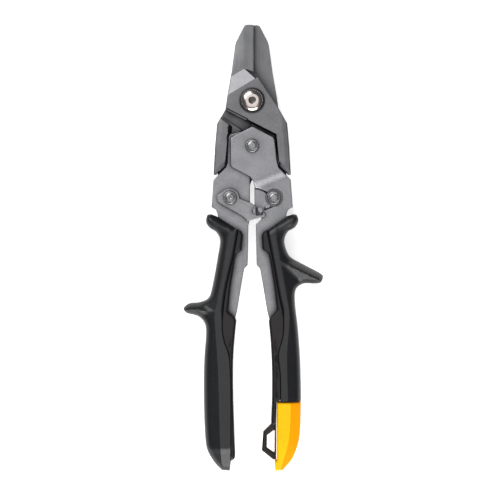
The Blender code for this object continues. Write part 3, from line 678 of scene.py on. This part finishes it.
def wedge(points, start, end, heights, slopes):
    """Two planes that fall away from a ridge between two points, above it and below it."""
    (x0, y0), (x1, y1) = start, end
    length = math.hypot(x1 - x0, y1 - y0)
    share = ((points[:, 0] - x0) * (x1 - x0) + (points[:, 1] - y0) * (y1 - y0)) / length ** 2
    up = beside(points, start, end)
    ridge = heights[0] + (heights[1] - heights[0]) * np.clip(share, -0.3, 1.3)
    return ridge - slopes[0] * np.maximum(up, 0) - slopes[1] * np.maximum(-up, 0)


def highest(*surfaces, soft=1.0):
    """The highest of the surfaces, with the inner corners between them filled."""
    found = surfaces[0]
    for other in surfaces[1:]:
        near = np.maximum(soft - np.abs(found - other), 0) / soft
        found = np.maximum(found, other) + near * near * soft / 4
    return found


def cover_top(points, ridge, side, seam, outer, guard, hook):
    """Height of a soft cover: its body, finger guard and upper hook, with rounded rims. The groove
    at the seam widens above the guards."""
    out = beyond(points, ridge, side)
    body = COVER_TOP - 0.4 * np.minimum(out, 7) - 0.5 * np.maximum(out - 7, 0)
    past_tip = np.maximum(TIP_FROM - points[:, 1], 0)
    body -= TIP_SLOPE * past_tip * ramp(-points[:, 1], -TIP_FROM - 2, -TIP_FROM + 4)
    height = np.minimum(highest(body, guard, hook), GRIP_TOP)
    height -= rounding(distance_to_line(points, outer) * 0.8, COVER_RIM)
    wide = 0.45 + 1.15 * ramp(points[:, 1], -124, -116)
    inner = np.clip(1 - distance_to_line(points, seam) / wide, 0, 1)
    return height - wide * 1.1 * (1 - np.sqrt(1 - inner ** 2))


def left_cover_top(points, depth):
    guard = wedge(points, (-35.5, -116.6), (-20.7, -118.0), (7.6, 8.5), (0.7, 0.62))
    hook = wedge(points, (-24.6, -66.6), (-12.0, -73.4), (8.2, 8.9), (0.22, 0.4))
    return cover_top(points, LEFT_RIDGE, -1, LEFT_SEAM, LEFT_COVER, guard, hook)


def right_cover_top(points, depth):
    guard = wedge(points, (20.6, -92.0), (36.4, -100.0), (8.7, 7.6), (0.95, 0.58))
    hook = wedge(points, (12.0, -73.4), (24.6, -66.6), (8.9, 8.2), (0.22, 0.4))
    outer = [RIGHT_SEAM[0], *RIGHT_COVER]
    return cover_top(points, RIGHT_RIDGE, 1, RIGHT_SEAM, outer, guard, hook)


def core_top(inner):
    """Height of a hard core: lower than the cover, steep at its inner side, with fine ribs."""
    def top(points, depth):
        away = distance_to_line(points, inner)
        height = np.full(len(points), CORE_TOP)
        height -= 0.05 * np.maximum(END_FROM - points[:, 1], 0)
        low = ramp(-points[:, 1], 128, 138)
        for at in CORE_RIBS:
            rib = np.clip(1 - np.abs(away - at) / RIB_HALF, 0, 1)
            height += RIB_HEIGHT * rib * low
        return height - 1.15 * rounding(away, 1.6) - 0.5 * rounding(depth, 0.4)
    return top


def cap_top(points, depth):
    out = beyond(points, CAP_RIDGE, 1)
    height = CAP_TOP - 0.5 * out - 0.006 * np.maximum(END_FROM - points[:, 1], 0) ** 2
    return height - rounding(depth, CAP_RIM)


def solid_grip(name, outline, top, rings, creases=()):
    return relief(name, [outline], top, mirrored_bottom(top), 0.8, rings, creases)


def loop_top(points, depth):
    return LOOP_TOP - rounding(depth, 1.05)


def build_grips():
    rim = (0.12, 0.35, 0.7, 1.15, 1.7)
    core_rim = (0.08, 0.25, 0.5, 0.85, 1.2, 1.5, 1.8, 2.1, 2.4, 2.5, 2.8, 3.1)
    small_rim = (0.08, 0.25, 0.5, 0.8, 1.1)
    cover = solid_grip("left_cover", [LEFT_SEAM[0], *LEFT_COVER, *reversed(LEFT_SEAM[1:])],
                       left_cover_top, rim, [LEFT_RIDGE[14:-2]])
    dress(cover, "left_handle", COVER, "cover_rubber", "left_grip_cover")
    core = solid_grip("left_core", [*shifted(LEFT_SEAM, SEAM_GAP), *LEFT_CORE_INNER],
                      core_top(LEFT_CORE_INNER), core_rim)
    dress(core, "left_handle", CORE, "core_plastic", "left_grip_core")

    cover = solid_grip("right_cover", [RIGHT_SEAM[0], *RIGHT_COVER, *reversed(RIGHT_SEAM[1:])],
                       right_cover_top, rim, [RIGHT_RIDGE[14:-1]])
    dress(cover, "right_handle", COVER, "cover_rubber", "right_grip_cover")
    outline = [*RIGHT_CORE_INNER, (13.6, -167.8), (15.2, -167.8),
               *reversed(shifted(RIGHT_SEAM[:-1], -SEAM_GAP))]
    core = solid_grip("right_core", outline, core_top(RIGHT_CORE_INNER), core_rim)
    loop = relief("loop", [LOOP_OUTLINE, LOOP_OPENING], loop_top, mirrored_bottom(loop_top), 0.6,
                  small_rim)
    dress(joined("right_core", [core, loop]), "right_handle", CORE, "core_plastic",
          "right_grip_core")
    cap = solid_grip("end_cap", END_CAP, cap_top, small_rim, [CAP_RIDGE[1:-2]])
    dress(cap, "right_handle", YELLOW, "cap_plastic", "right_end_cap")
    # Painted shade: outside its ridge the cap gets a deeper orange copy of its yellow, standing in
    # for the shade on its sloping outer facet.
    cap.data.materials.append(CAP_SHADED_ORANGE)
    for face in cap.data.polygons:
        place_at = (np.array(face.center) - np.array(TO_FRAME)) / MM
        face.material_index = int(beyond(place_at[None, :2], CAP_RIDGE, 1)[0] > 0)


# ---------------------------------------------------------------- plates

PLATE_LOW = 1.9
PLATE_TOP = 3.9
JOGGLE = 2.3
JOGGLE_NORMAL = (-0.366, 0.930)
JOGGLE_FROM, JOGGLE_TO = -48.8, -40.6
HEAD_NOTCH = curve_through([(22.7, -59.5), (20.6, -60.6), (19.4, -62.6), (19.0, -65.0)])
SHANK_OUTER = [(19.0, -70.5), (15.0, -75.5), (12.8, -81.0), (13.6, -90.0), (16.6, -104.4),
               (19.2, -118.0), (20.6, -132.0), (20.6, -149.0), (18.0, -151.5), (15.6, -151.5)]
SHANK_INNER = [(13.6, -149.0), (12.8, -136.0), (11.0, -126.0), (9.3, -120.8), (8.4, -117.2),
               (6.3, -104.4), (4.5, -93.9), (2.5, -91.7), (2.1, -69.8)]
JOGGLED_PLATE = [
    (0.2, -14.5),
    (-12.0, -20.8),
    (-12.0, -36.7),
    (-1.2, -42.5),
    (0.4, -44.7),
    (1.8, -48.97),
    (3.4, -48.9),
    (5.6, -49.7),
    (8.6, -51.1),
    (8.4, -51.7),
    (5.4, -50.3),
    (3.4, -49.5),
    (1.6, -49.6),
    (1.3, -49.8),
    (1.3, -58.6),
    (1.8, -68.4),
    *reversed(SHANK_INNER),
    *reversed(SHANK_OUTER),
    *reversed(HEAD_NOTCH),
    (21.6, -44.2),
    (19.6, -42.2),
    (14.7, -37.4),
    (13.8, -34.0),
    (12.4, -22.0),
    (11.8, -20.6),
]
FLAT_PLATE = [
    *arc(CENTRE, 9.5, -97.2, 118.0, 40),
    (-12.2, -18.8),
    (-13.3, -20.2),
    (-13.8, -34.8),
    (-14.7, -37.4),
    (-19.6, -42.2),
    (-21.6, -44.2),
    *[(-x, y) for x, y in HEAD_NOTCH],
    *[(-x, y) for x, y in SHANK_OUTER],
    *[(-x, y) for x, y in SHANK_INNER],
    (-1.8, -68.4),
    (-1.2, -66.0),
]
PIN_HOLE = 2.65
PLATE_ROUND = 0.3
PLATE_RINGS = (0.05, 0.13, 0.3)
COUNTERBORE = 5.05
BORE_DEPTH = 0.8
BORE_WALL = 0.12
COIN = [(7.0, -61.4), (14.6, -58.3), (14.6, -54.0), (7.0, -56.0)]
COIN_DEPTH = 0.95
INNER_NOTCH = [(1.45, -64.4), (5.0, -64.9), (5.2, -66.3), (2.1, -68.9)]


def notched(outline, before, side):
    """The outline with the right plates' inner notch in place of the points after this Y."""
    at = [y for _, y in outline].index(before) + 1
    notch = INNER_NOTCH if side > 0 else mirrored(INNER_NOTCH)
    return [*outline[:at], *notch, *outline[at + (1 if side > 0 else 2):]]


def joggle(points):
    """How far the joggled plate is lifted at each point."""
    nx, ny = JOGGLE_NORMAL
    size = math.hypot(nx, ny)
    along = (points[:, 0] * nx + points[:, 1] * ny) / size
    return JOGGLE * ramp(along, JOGGLE_FROM, JOGGLE_TO)


def coin_depth(points):
    """The coined facet under the right pivot falls towards its lower side."""
    up = beside(points, COIN[0], COIN[1])
    return np.clip(COIN_DEPTH - 0.38 * up, 0, COIN_DEPTH)


def joggled_plate(name, outline):
    def top(points, depth):
        away = np.hypot(points[:, 0] - RIGHT[0], points[:, 1] - RIGHT[1])
        bore = np.clip((COUNTERBORE - away) / BORE_WALL, 0, 1) * BORE_DEPTH
        coin = np.where((away > COUNTERBORE) & inside(points, [COIN]), coin_depth(points), 0)
        return PLATE_TOP + joggle(points) - bore - coin - rounding(depth, PLATE_ROUND)

    def bottom(points, depth):
        return PLATE_LOW + joggle(points) + rounding(depth, 0.12)

    holes = [arc(CENTRE, PIN_HOLE), arc(RIGHT, PIN_HOLE)]
    creases = [
        arc(RIGHT, COUNTERBORE, 0, 359.9, 60),
        arc(RIGHT, COUNTERBORE - BORE_WALL, 0, 359.9, 60),
        COIN[:2],
        [(x + 0.05, y + 0.08) for x, y in COIN[:2]],
    ]
    return relief(name, [outline, *holes], top, bottom, 0.8, PLATE_RINGS, creases)


def flat_plate(name, outline):
    def top(points, depth):
        return PLATE_TOP - rounding(depth, PLATE_ROUND)

    def bottom(points, depth):
        return PLATE_LOW + rounding(depth, 0.12)

    holes = [arc(CENTRE, PIN_HOLE), arc(LEFT, PIN_HOLE)]
    return relief(name, [outline, *holes], top, bottom, 1.0, PLATE_RINGS)


def build_plates():
    front = flat_plate("left_plate_front", FLAT_PLATE)
    dress(front, "left_handle", STEEL, "handle_steel", "left_front_plate")
    back = joggled_plate("left_plate_back", JOGGLED_PLATE)
    dress(turn_over(back), "left_handle", STEEL, "handle_steel", "left_back_plate")
    front = joggled_plate("right_plate_front", notched(JOGGLED_PLATE, -58.6, 1))
    dress(front, "right_handle", STEEL, "handle_steel", "right_front_plate")
    back = flat_plate("right_plate_back", notched(FLAT_PLATE, -69.8, -1))
    dress(turn_over(back), "right_handle", STEEL, "handle_steel", "right_back_plate")


# ---------------------------------------------------------------- blades

BLADE_OUTLINE = [
    *curve_through([(1.0, 38.0), (1.0, 41.3), (0.5, 42.3), (-0.6, 42.5)], 5),
    *curve_through([(-2.6, 42.5), (-3.9, 42.2), (-4.9, 40.9), (-6.2, 38.3)], 5),
    (-8.9, 33.0),
    (-9.5, 30.9),
    (-11.5, 15.8),
    (-13.8, 2.6),
    (-14.9, -5.2),
    (12.8, -19.3),
    (14.3, -34.5),
    (15.2, -36.6),
    (20.3, -41.3),
    (21.6, -41.3),
    (20.7, -25.1),
    (19.6, -12.8),
    (14.7, -4.3),
    (8.7, 4.8),
    (4.4, 11.3),
    (1.0, 17.2),
]
TANG_OUTLINE = [
    (16.95, -10.4),
    (9.9, -15.4),
    (10.4, -17.2),
    (13.7, -19.0),
    (14.38, -34.48),
    (15.26, -36.55),
    (20.32, -41.24),
    (21.54, -41.24),
    (20.64, -25.1),
    (19.54, -12.82),
    (17.5, -9.45),
]
WEB_OUTLINE = [
    (15.5, -22.0),
    (11.2, -24.0),
    (10.6, -34.0),
    (8.0, -46.0),
    *arc(RIGHT, 6.2, 180, 359.9, 30),
    (19.6, -46.0),
    (18.2, -30.0),
]
LIP_OUTLINE = [(-0.2, -10.5), (7.0, -14.2), (7.0, -18.2), (-0.2, -15.6)]

# Heights. A blade lies on its own side of the mid-plane, and its tang reaches through to the other.
HUB_TOP = 6.0
BLADE_TOP = 3.4
BLADE_GAP = 0.1
BLADE_ROUND = 0.35
BLADE_RINGS = (0.06, 0.16, 0.35)
TANG_ROOT = 5.0
STEP_TOP = 1.5
LIP_LOW, LIP_TOP = 0.2, 1.45
WEB_TOP = 1.6
BOLT_RADIUS = 3.8

# The ramp from the hub down to the cutting part, and the facet outside the ridge along that part.
RAMP_START = (-5.7, 7.75)
RAMP_ANGLE = math.radians(120.9)
RAMP_RUN = 8.0
RIDGE_START = (-4.6, 34.0)
RIDGE_ANGLE = math.radians(183.0)
FACET_SLOPE = 0.2
FACET_FADE = 20

# The steep facet beside the ramp.
STEEP_SLOPE = 0.62
STEEP_EDGE = ((-5.3, 18.6), (1.65, 12.2))
STEEP_END = ((1.65, 12.2), (3.4, 12.7))
STEEP_FOOT = [(-3.5, 17.9), (-0.87, 16.8), (1.0, 16.26)]

# The hub's lower edge has a ledge at its outer part and a chamfer that goes on down the tang.
HUB_EDGE = ((-14.9, -5.2), (12.8, -19.3))
LEDGE_END = -2.4
LEDGE_DEPTH = 1.8
LEDGE_WIDTH = 1.35
LEDGE_LINES = [[(-14.0, -4.15), (-2.55, -9.98)], [(-14.0, -4.71), (-2.55, -10.54)]]
INNER_EDGE = [(LEDGE_END, -11.56), (12.8, -19.3), (14.3, -34.5)]
INNER_WIDTH = 0.85
INNER_SLOPE = 2.2

# The tang's end chamfer, and its outer side, which slopes a little beyond its bend.
TANG_END = [(14.3, -35.71), (20.3, -41.3)]
END_WIDTH = 2.1
END_SLOPE = 0.3
TANG_BEND = [(18.6, -41.0), (17.9, -25.0), (16.4, -11.0)]
TANG_SIDE_SLOPE = 0.15
TANG_RIDGE = [(16.5, -11.4), (17.9, -25.0), (18.5, -39.0)]
TANG_STEP = [(16.9, -8.9), (5.4, -16.4), (11.3, -20.4), (15.0, -21.0), (19.3, -12.8)]


def ahead(points, start, angle):
    """How far each point is from start along a direction."""
    dx, dy = points[:, 0] - start[0], points[:, 1] - start[1]
    return dx * math.cos(angle) + dy * math.sin(angle)


def across(start, angle, distance, reach):
    """The line square to the direction, at a distance along it."""
    c, s = math.cos(angle), math.sin(angle)
    x, y = start[0] + c * distance, start[1] + s * distance
    return [(x - s * r, y + c * r) for r in reach]


def offset_line(line, distance):
    """The open line moved sideways to its left, with its corners kept sharp."""
    sides = []
    for (x0, y0), (x1, y1) in zip(line, line[1:]):
        length = math.hypot(x1 - x0, y1 - y0)
        nx, ny = -(y1 - y0) / length, (x1 - x0) / length
        sides.append((nx, ny, nx * x0 + ny * y0 + distance))
    ends = [(x + sides[i][0] * distance, y + sides[i][1] * distance)
            for i, (x, y) in ((0, line[0]), (-1, line[-1]))]
    corners = []
    for (a, b, c), (d, e, f) in zip(sides, sides[1:]):
        size = a * e - b * d
        corners.append(((c * e - b * f) / size, (a * f - c * d) / size))
    return [ends[0], *corners, ends[1]]


def edge_fall(points, line, width, slope):
    """How far a facet along an open edge line has fallen: it starts width inside the line."""
    sides = [beside(points, start, end) for start, end in zip(line, line[1:])]
    return slope * np.maximum(width - np.maximum.reduce(sides), 0)


def blade_top(points, depth):
    """Height of a blade: hub, ramp down to the cutting part, the facet outside that, and tang."""
    x, y = points[:, 0], points[:, 1]
    along = ahead(points, RAMP_START, RAMP_ANGLE)
    height = HUB_TOP - (HUB_TOP - BLADE_TOP) * np.clip(along / RAMP_RUN, 0, 1)
    steep = STEEP_SLOPE * np.minimum(beside(points, *STEEP_EDGE), 1.6 * beside(points, *STEEP_END))
    height = np.maximum(height - np.maximum(steep, 0), np.minimum(height, BLADE_TOP))
    out = ahead(points, RIDGE_START, RIDGE_ANGLE)
    height -= FACET_SLOPE * np.maximum(out, 0) * ramp(along, RAMP_RUN, RAMP_RUN + FACET_FADE)
    ledge = LEDGE_DEPTH * np.clip((LEDGE_WIDTH - beside(points, *HUB_EDGE)) / 0.5, 0, 1)
    ledge = ledge * np.clip((LEDGE_END - x) / 0.15, 0, 1)
    wall = edge_fall(points, INNER_EDGE, INNER_WIDTH, INNER_SLOPE) * (x > LEDGE_END)
    height -= np.where(y < 3, np.maximum(ledge, wall), 0)
    height -= np.where(y < -9, tang_fall(points), 0)
    return height - rounding(depth, BLADE_ROUND)


def tang_fall(points):
    """How far a tang's outer side and its end fall away from its flat."""
    bend = np.array(TANG_BEND)
    ridge = np.interp(points[:, 1], bend[:, 1], bend[:, 0])
    side = TANG_SIDE_SLOPE * np.maximum(points[:, 0] - ridge, 0)
    end = np.where(points[:, 1] < -33, edge_fall(points, TANG_END, END_WIDTH, END_SLOPE), 0)
    return np.maximum(side, end)


def blade(name, pin_play):
    """A blade with its hub and tang, facing front. The tang's part behind the mid-plane, the step
    and the web that carry it, and the lip under the hub are separate shells in the same piece."""
    def tang_bottom(points, depth):
        inner_fall = edge_fall(points, INNER_EDGE[1:], INNER_WIDTH, INNER_SLOPE)
        return -HUB_TOP + np.maximum(tang_fall(points), inner_fall) + rounding(depth, BLADE_ROUND)

    def step_top(points, depth):
        return STEP_TOP - rounding(depth, 0.3)

    inner = offset_line(INNER_EDGE, INNER_WIDTH)
    tang_creases = [TANG_RIDGE, inner[1:], offset_line(TANG_END, END_WIDTH)]
    creases = [
        across(RAMP_START, RAMP_ANGLE, 0, (-8.4, 8.5)),
        across(RAMP_START, RAMP_ANGLE, RAMP_RUN, (-6.8, 2.0)),
        [(-3.9, 17.3), (-2.0, 15.57), STEEP_EDGE[1]],
        STEEP_FOOT,
        across(RIDGE_START, RIDGE_ANGLE, 0, (-4.0, 15.2)),
        *LEDGE_LINES,
        inner[:2],
        *tang_creases[1:],
        TANG_RIDGE,
    ]
    hole = arc((0, 0), BOLT_RADIUS + pin_play)
    body = relief(name, [BLADE_OUTLINE, hole], blade_top, flat(BLADE_GAP), 0.7, BLADE_RINGS,
                  creases, 50)
    tang = relief(name + "_tang", [TANG_OUTLINE], flat(TANG_ROOT), tang_bottom, 0.8, BLADE_RINGS,
                  tang_creases)
    lip = relief(name + "_lip", [LIP_OUTLINE], flat(LIP_TOP), flat(LIP_LOW), 2.0, ())
    step = relief(name + "_step", [TANG_STEP], step_top, mirrored_bottom(step_top), 0.8,
                  BLADE_RINGS)
    web = relief(name + "_web", [WEB_OUTLINE, arc(RIGHT, PIN_HOLE)], flat(WEB_TOP), flat(-WEB_TOP),
                 1.4, ())
    return joined(name, [body, tang, step, lip, web])


def build_blades():
    dress(blade("blade_front", 0.15), "front_blade", BLADE, "blade_steel", "front_blade")
    dress(turn_over(blade("blade_back", 0.45)), "back_blade", BLADE, "blade_steel", "back_blade")


# ---------------------------------------------------------------- bolt, rivets, spring and latch


BOLT_HEAD = (7.0, 8.7)
BOLT_END = -8.2
SOCKET_RADIUS = 2.0
RIVET_RADIUS = 2.5
RIVET_CROWN = 1.3
RIVET_DIMPLE = 0.35


def build_bolt():
    low, top = BOLT_HEAD
    profile = [
        (0, top - 1.3),
        (SOCKET_RADIUS, top - 1.3),
        (SOCKET_RADIUS, top - 0.2),
        *arc((SOCKET_RADIUS + 0.18, top - 0.2), 0.18, 180, 90, 4),
        (3.3, top - 0.03),
        (3.55, top - 0.07),
        (4.25, top - 0.27),
        (4.85, top - 0.5),
        (5.2, top - 0.69),
        (5.55, top - 0.9),
        (5.8, top - 1.1),
        (5.95, top - 1.3),
        (5.95, low),
        (BOLT_RADIUS, low),
        (BOLT_RADIUS, BOLT_END),
        (0, BOLT_END),
    ]
    dress(turned("bolt", profile, (0, 0), 128, 40), "front_blade", NICKEL, "polished_steel",
          "pivot_bolt")
    # Painted shade: the socket's bottom piece is near black, standing in for the shade inside the
    # socket.
    centre = [(0, top - 0.8), (0.5, top - 0.83), (0.7, top - 1.02), (1.2, top - 1.0),
              (1.97, top - 0.75), (1.97, top - 1.4), (0, top - 1.4)]
    dress(turned("bolt_centre", centre, (0, 0), 48), "front_blade", SOCKET_PAINTED_SHADE, "polished_steel")
    # Partly painted shade: the washer is near black, so its ring beyond the bolt head stands in for
    # the shadow line round the head.
    washer = [(3.95, 6.8), (6.75, 6.8), (6.95, 6.7), (7.0, 6.55), (7.0, 6.15), (3.95, 6.15),
              (3.95, 6.8)]
    dress(turned("washer", washer, (0, 0), 96), "front_blade", DARK_STEEL_AND_SHADE, "spring_steel",
          "pivot_washer")


def rivet(name, centre, top, bottom, dimple):
    """A headed rivet: low domes with a groove and a ring round each, and a dimple on some."""
    profile = [(0, top + RIVET_CROWN - dimple)]
    if dimple:
        profile += [(0.35, top + RIVET_CROWN - dimple), (0.7, top + RIVET_CROWN - 0.03)]
    profile += head_profile(top, 1) + [(RIVET_RADIUS, top), (RIVET_RADIUS, bottom)]
    profile += head_profile(bottom, -1)[::-1] + [(0, bottom - RIVET_CROWN)]
    return turned(name, profile, centre, 96, 50)


def head_profile(face, side):
    """From the crown of a rivet's head out and down to the face that it bears on."""
    rim = [(1.4, 1.24), (2.1, 1.08), (2.5, 0.9), (2.62, 0.9), (2.75, 1.05), (2.95, 1.3),
           *arc((3.15, 0.9), 0.55, 105, 0, 8), (3.7, 0.3), (3.62, 0.0)]
    return [(radius, face + side * height) for radius, height in rim]


def build_rivets():
    pentagon = PLATE_TOP + JOGGLE + 0.15
    dress(rivet("rivet_centre", CENTRE, pentagon, -pentagon, 0), "left_handle", PLATED,
          "plated_steel", "centre_rivet")
    dress(rivet("rivet_left", LEFT, 6.15, -3.25, RIVET_DIMPLE), "left_handle", PLATED,
          "plated_steel", "left_rivet")
    dress(rivet("rivet_right", RIGHT, 3.25, -4.05, 0), "right_handle", PLATED, "plated_steel",
          "right_rivet")


def build_spring():
    """The return spring: the CAD node's mesh copied as it stands, in dark steel."""
    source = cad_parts["return_spring"]
    mesh = source.data.copy()
    mesh.transform(source.matrix_world)
    mesh.materials.clear()
    mesh.materials.append(DARK_STEEL_AND_SHADE)
    spring = link(bpy.data.objects.new("spring", mesh))
    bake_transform(spring)
    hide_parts("return_spring")


LATCH_OUTLINE = [
    *arc(LEFT, 5.2, 20, 130, 16),
    (-19.2, -52.6),
    (-19.8, -54.0),
    (-19.3, -56.6),
    (-5.2, -64.8),
    (-2.5, -67.5),
    (1.0, -66.3),
    (4.4, -65.4),
    (7.5, -64.7),
    (7.4, -62.8),
    (5.9, -62.8),
    (5.8, -64.0),
    (2.45, -64.0),
    (2.45, -59.6),
    (1.8, -58.6),
    (-1.0, -56.9),
    (-5.2, -55.3),
    (-7.0, -54.6),
]
LATCH_TAB = [(0.0, -60.4), (1.9, -60.0), (2.2, -62.6), (0.3, -63.2)]
LATCH_LOW, LATCH_TOP = 4.7, 6.0
TAB_LOW, TAB_TOP = 5.1, 8.2
SCORE = ((-6.8, -56.6), (1.6, -61.0))  # a shallow line along the latch


def build_latch():
    """The latch: a plate with softened rims and a shallow line along it, and a thumb tab."""
    def top(points, depth):
        score = 0.22 * np.clip(1 - np.abs(beside(points, *SCORE)) / 0.35, 0, 1)
        score *= (points[:, 0] > -6.4) & (points[:, 0] < 0.2)
        return LATCH_TOP - score - rounding(depth, 0.42)

    def bottom(points, depth):
        return LATCH_LOW + rounding(depth, 0.15)

    def tab_top(points, depth):
        return TAB_TOP - rounding(depth, 0.4)

    plate = relief("latch", [LATCH_OUTLINE, arc(LEFT, PIN_HOLE)], top, bottom, 0.5,
                   (0.06, 0.16, 0.28, 0.42))
    tab = relief("latch_tab", [LATCH_TAB], tab_top, flat(TAB_LOW), 0.4,
                 (0.06, 0.16, 0.3, 0.42))
    dress(joined("latch", [plate, tab]), "latch", STEEL, "handle_steel", "latch_plate")


build_grips()
build_plates()
build_blades()
build_bolt()
build_rivets()
build_latch()
build_spring()
for name in ("pivot_nut", "nut_washer", "latch_stud", "latch_washer", "left_spacer",
             "right_spacer", "left_stop_pin", "right_stop_pin"):
    finish_node(name, PLATED, 0.12)
for side in ("left", "right"):
    for where in ("upper", "lower"):
        finish_node(f"{side}_handle_rivet_{where}", PLATED)
finish_node("centre_bush", BRONZE)


# ---------------------------------------------------------------- floor, lights and camera


FLOOR_HALF = 2.0
FLOOR_DROP = 0.0002
LENS, SENSOR = 150, 36
VIEW_WIDTH = 0.280
VIEW_SHIFT = (-0.0012, -0.0834)  # from the bolt to the middle of the view, in metres


def area_light(name, place_at, aim, size, power):
    data = bpy.data.lights.new(name, "AREA")
    data.shape = "RECTANGLE"
    data.size, data.size_y = size
    data.energy = power
    lamp = link(bpy.data.objects.new(name, data))
    lamp.location = place_at
    lamp.rotation_euler = (Vector(aim) - Vector(place_at)).to_track_quat("-Z", "Y").to_euler()


def stage():
    floor = bpy.data.meshes.new("floor")
    corners = [(-1, -1), (1, -1), (1, 1), (-1, 1)]
    floor.from_pydata([(x * FLOOR_HALF, y * FLOOR_HALF, 0) for x, y in corners], [],
                      [(0, 1, 2, 3)])
    floor = link(bpy.data.objects.new("floor", floor))
    floor.location.z = -FLOOR_DROP
    pale = Nodes("pale_floor")
    tone = pale.ramp(pale.noise(6, 2), [(0.3, (0.86, 0.86, 0.86)), (0.7, (0.88, 0.88, 0.88))])
    pale.link(tone, pale.shader.inputs["Base Color"])
    pale.link(tone, pale.shader.inputs["Emission Color"])
    pale.shader.inputs["Emission Strength"].default_value = 0.72
    pale.shader.inputs["Roughness"].default_value = 0.9
    floor.data.materials.append(pale.material)

    area_light("top_softbox", (0, 0, 1.3), (0, 0, 0), (1.2, 1.2), 5.9)
    area_light("upper_left_softbox", (-0.5, 0.72, 0.95), (0, 0.05, 0), (0.8, 0.7), 9)
    area_light("lower_softbox", (0.1, -1.1, 0.62), (0, 0, 0), (1.2, 0.85), 19)

    world = bpy.data.worlds.new("studio")
    world.use_nodes = True
    sky = world.node_tree.nodes["Background"]
    sky.inputs["Color"].default_value = (0.9, 0.93, 1.0, 1)
    sky.inputs["Strength"].default_value = 0.12
    bpy.context.scene.world = world
    bpy.context.scene.view_settings.view_transform = "Standard"

    data = bpy.data.cameras.new("camera")
    data.lens = LENS
    data.sensor_width = SENSOR
    camera = link(bpy.data.objects.new("camera", data))
    away = Vector((*VIEW_SHIFT, VIEW_WIDTH * LENS / SENSOR))
    camera.location = TO_FRAME + away
    bpy.context.scene.camera = camera


stage()
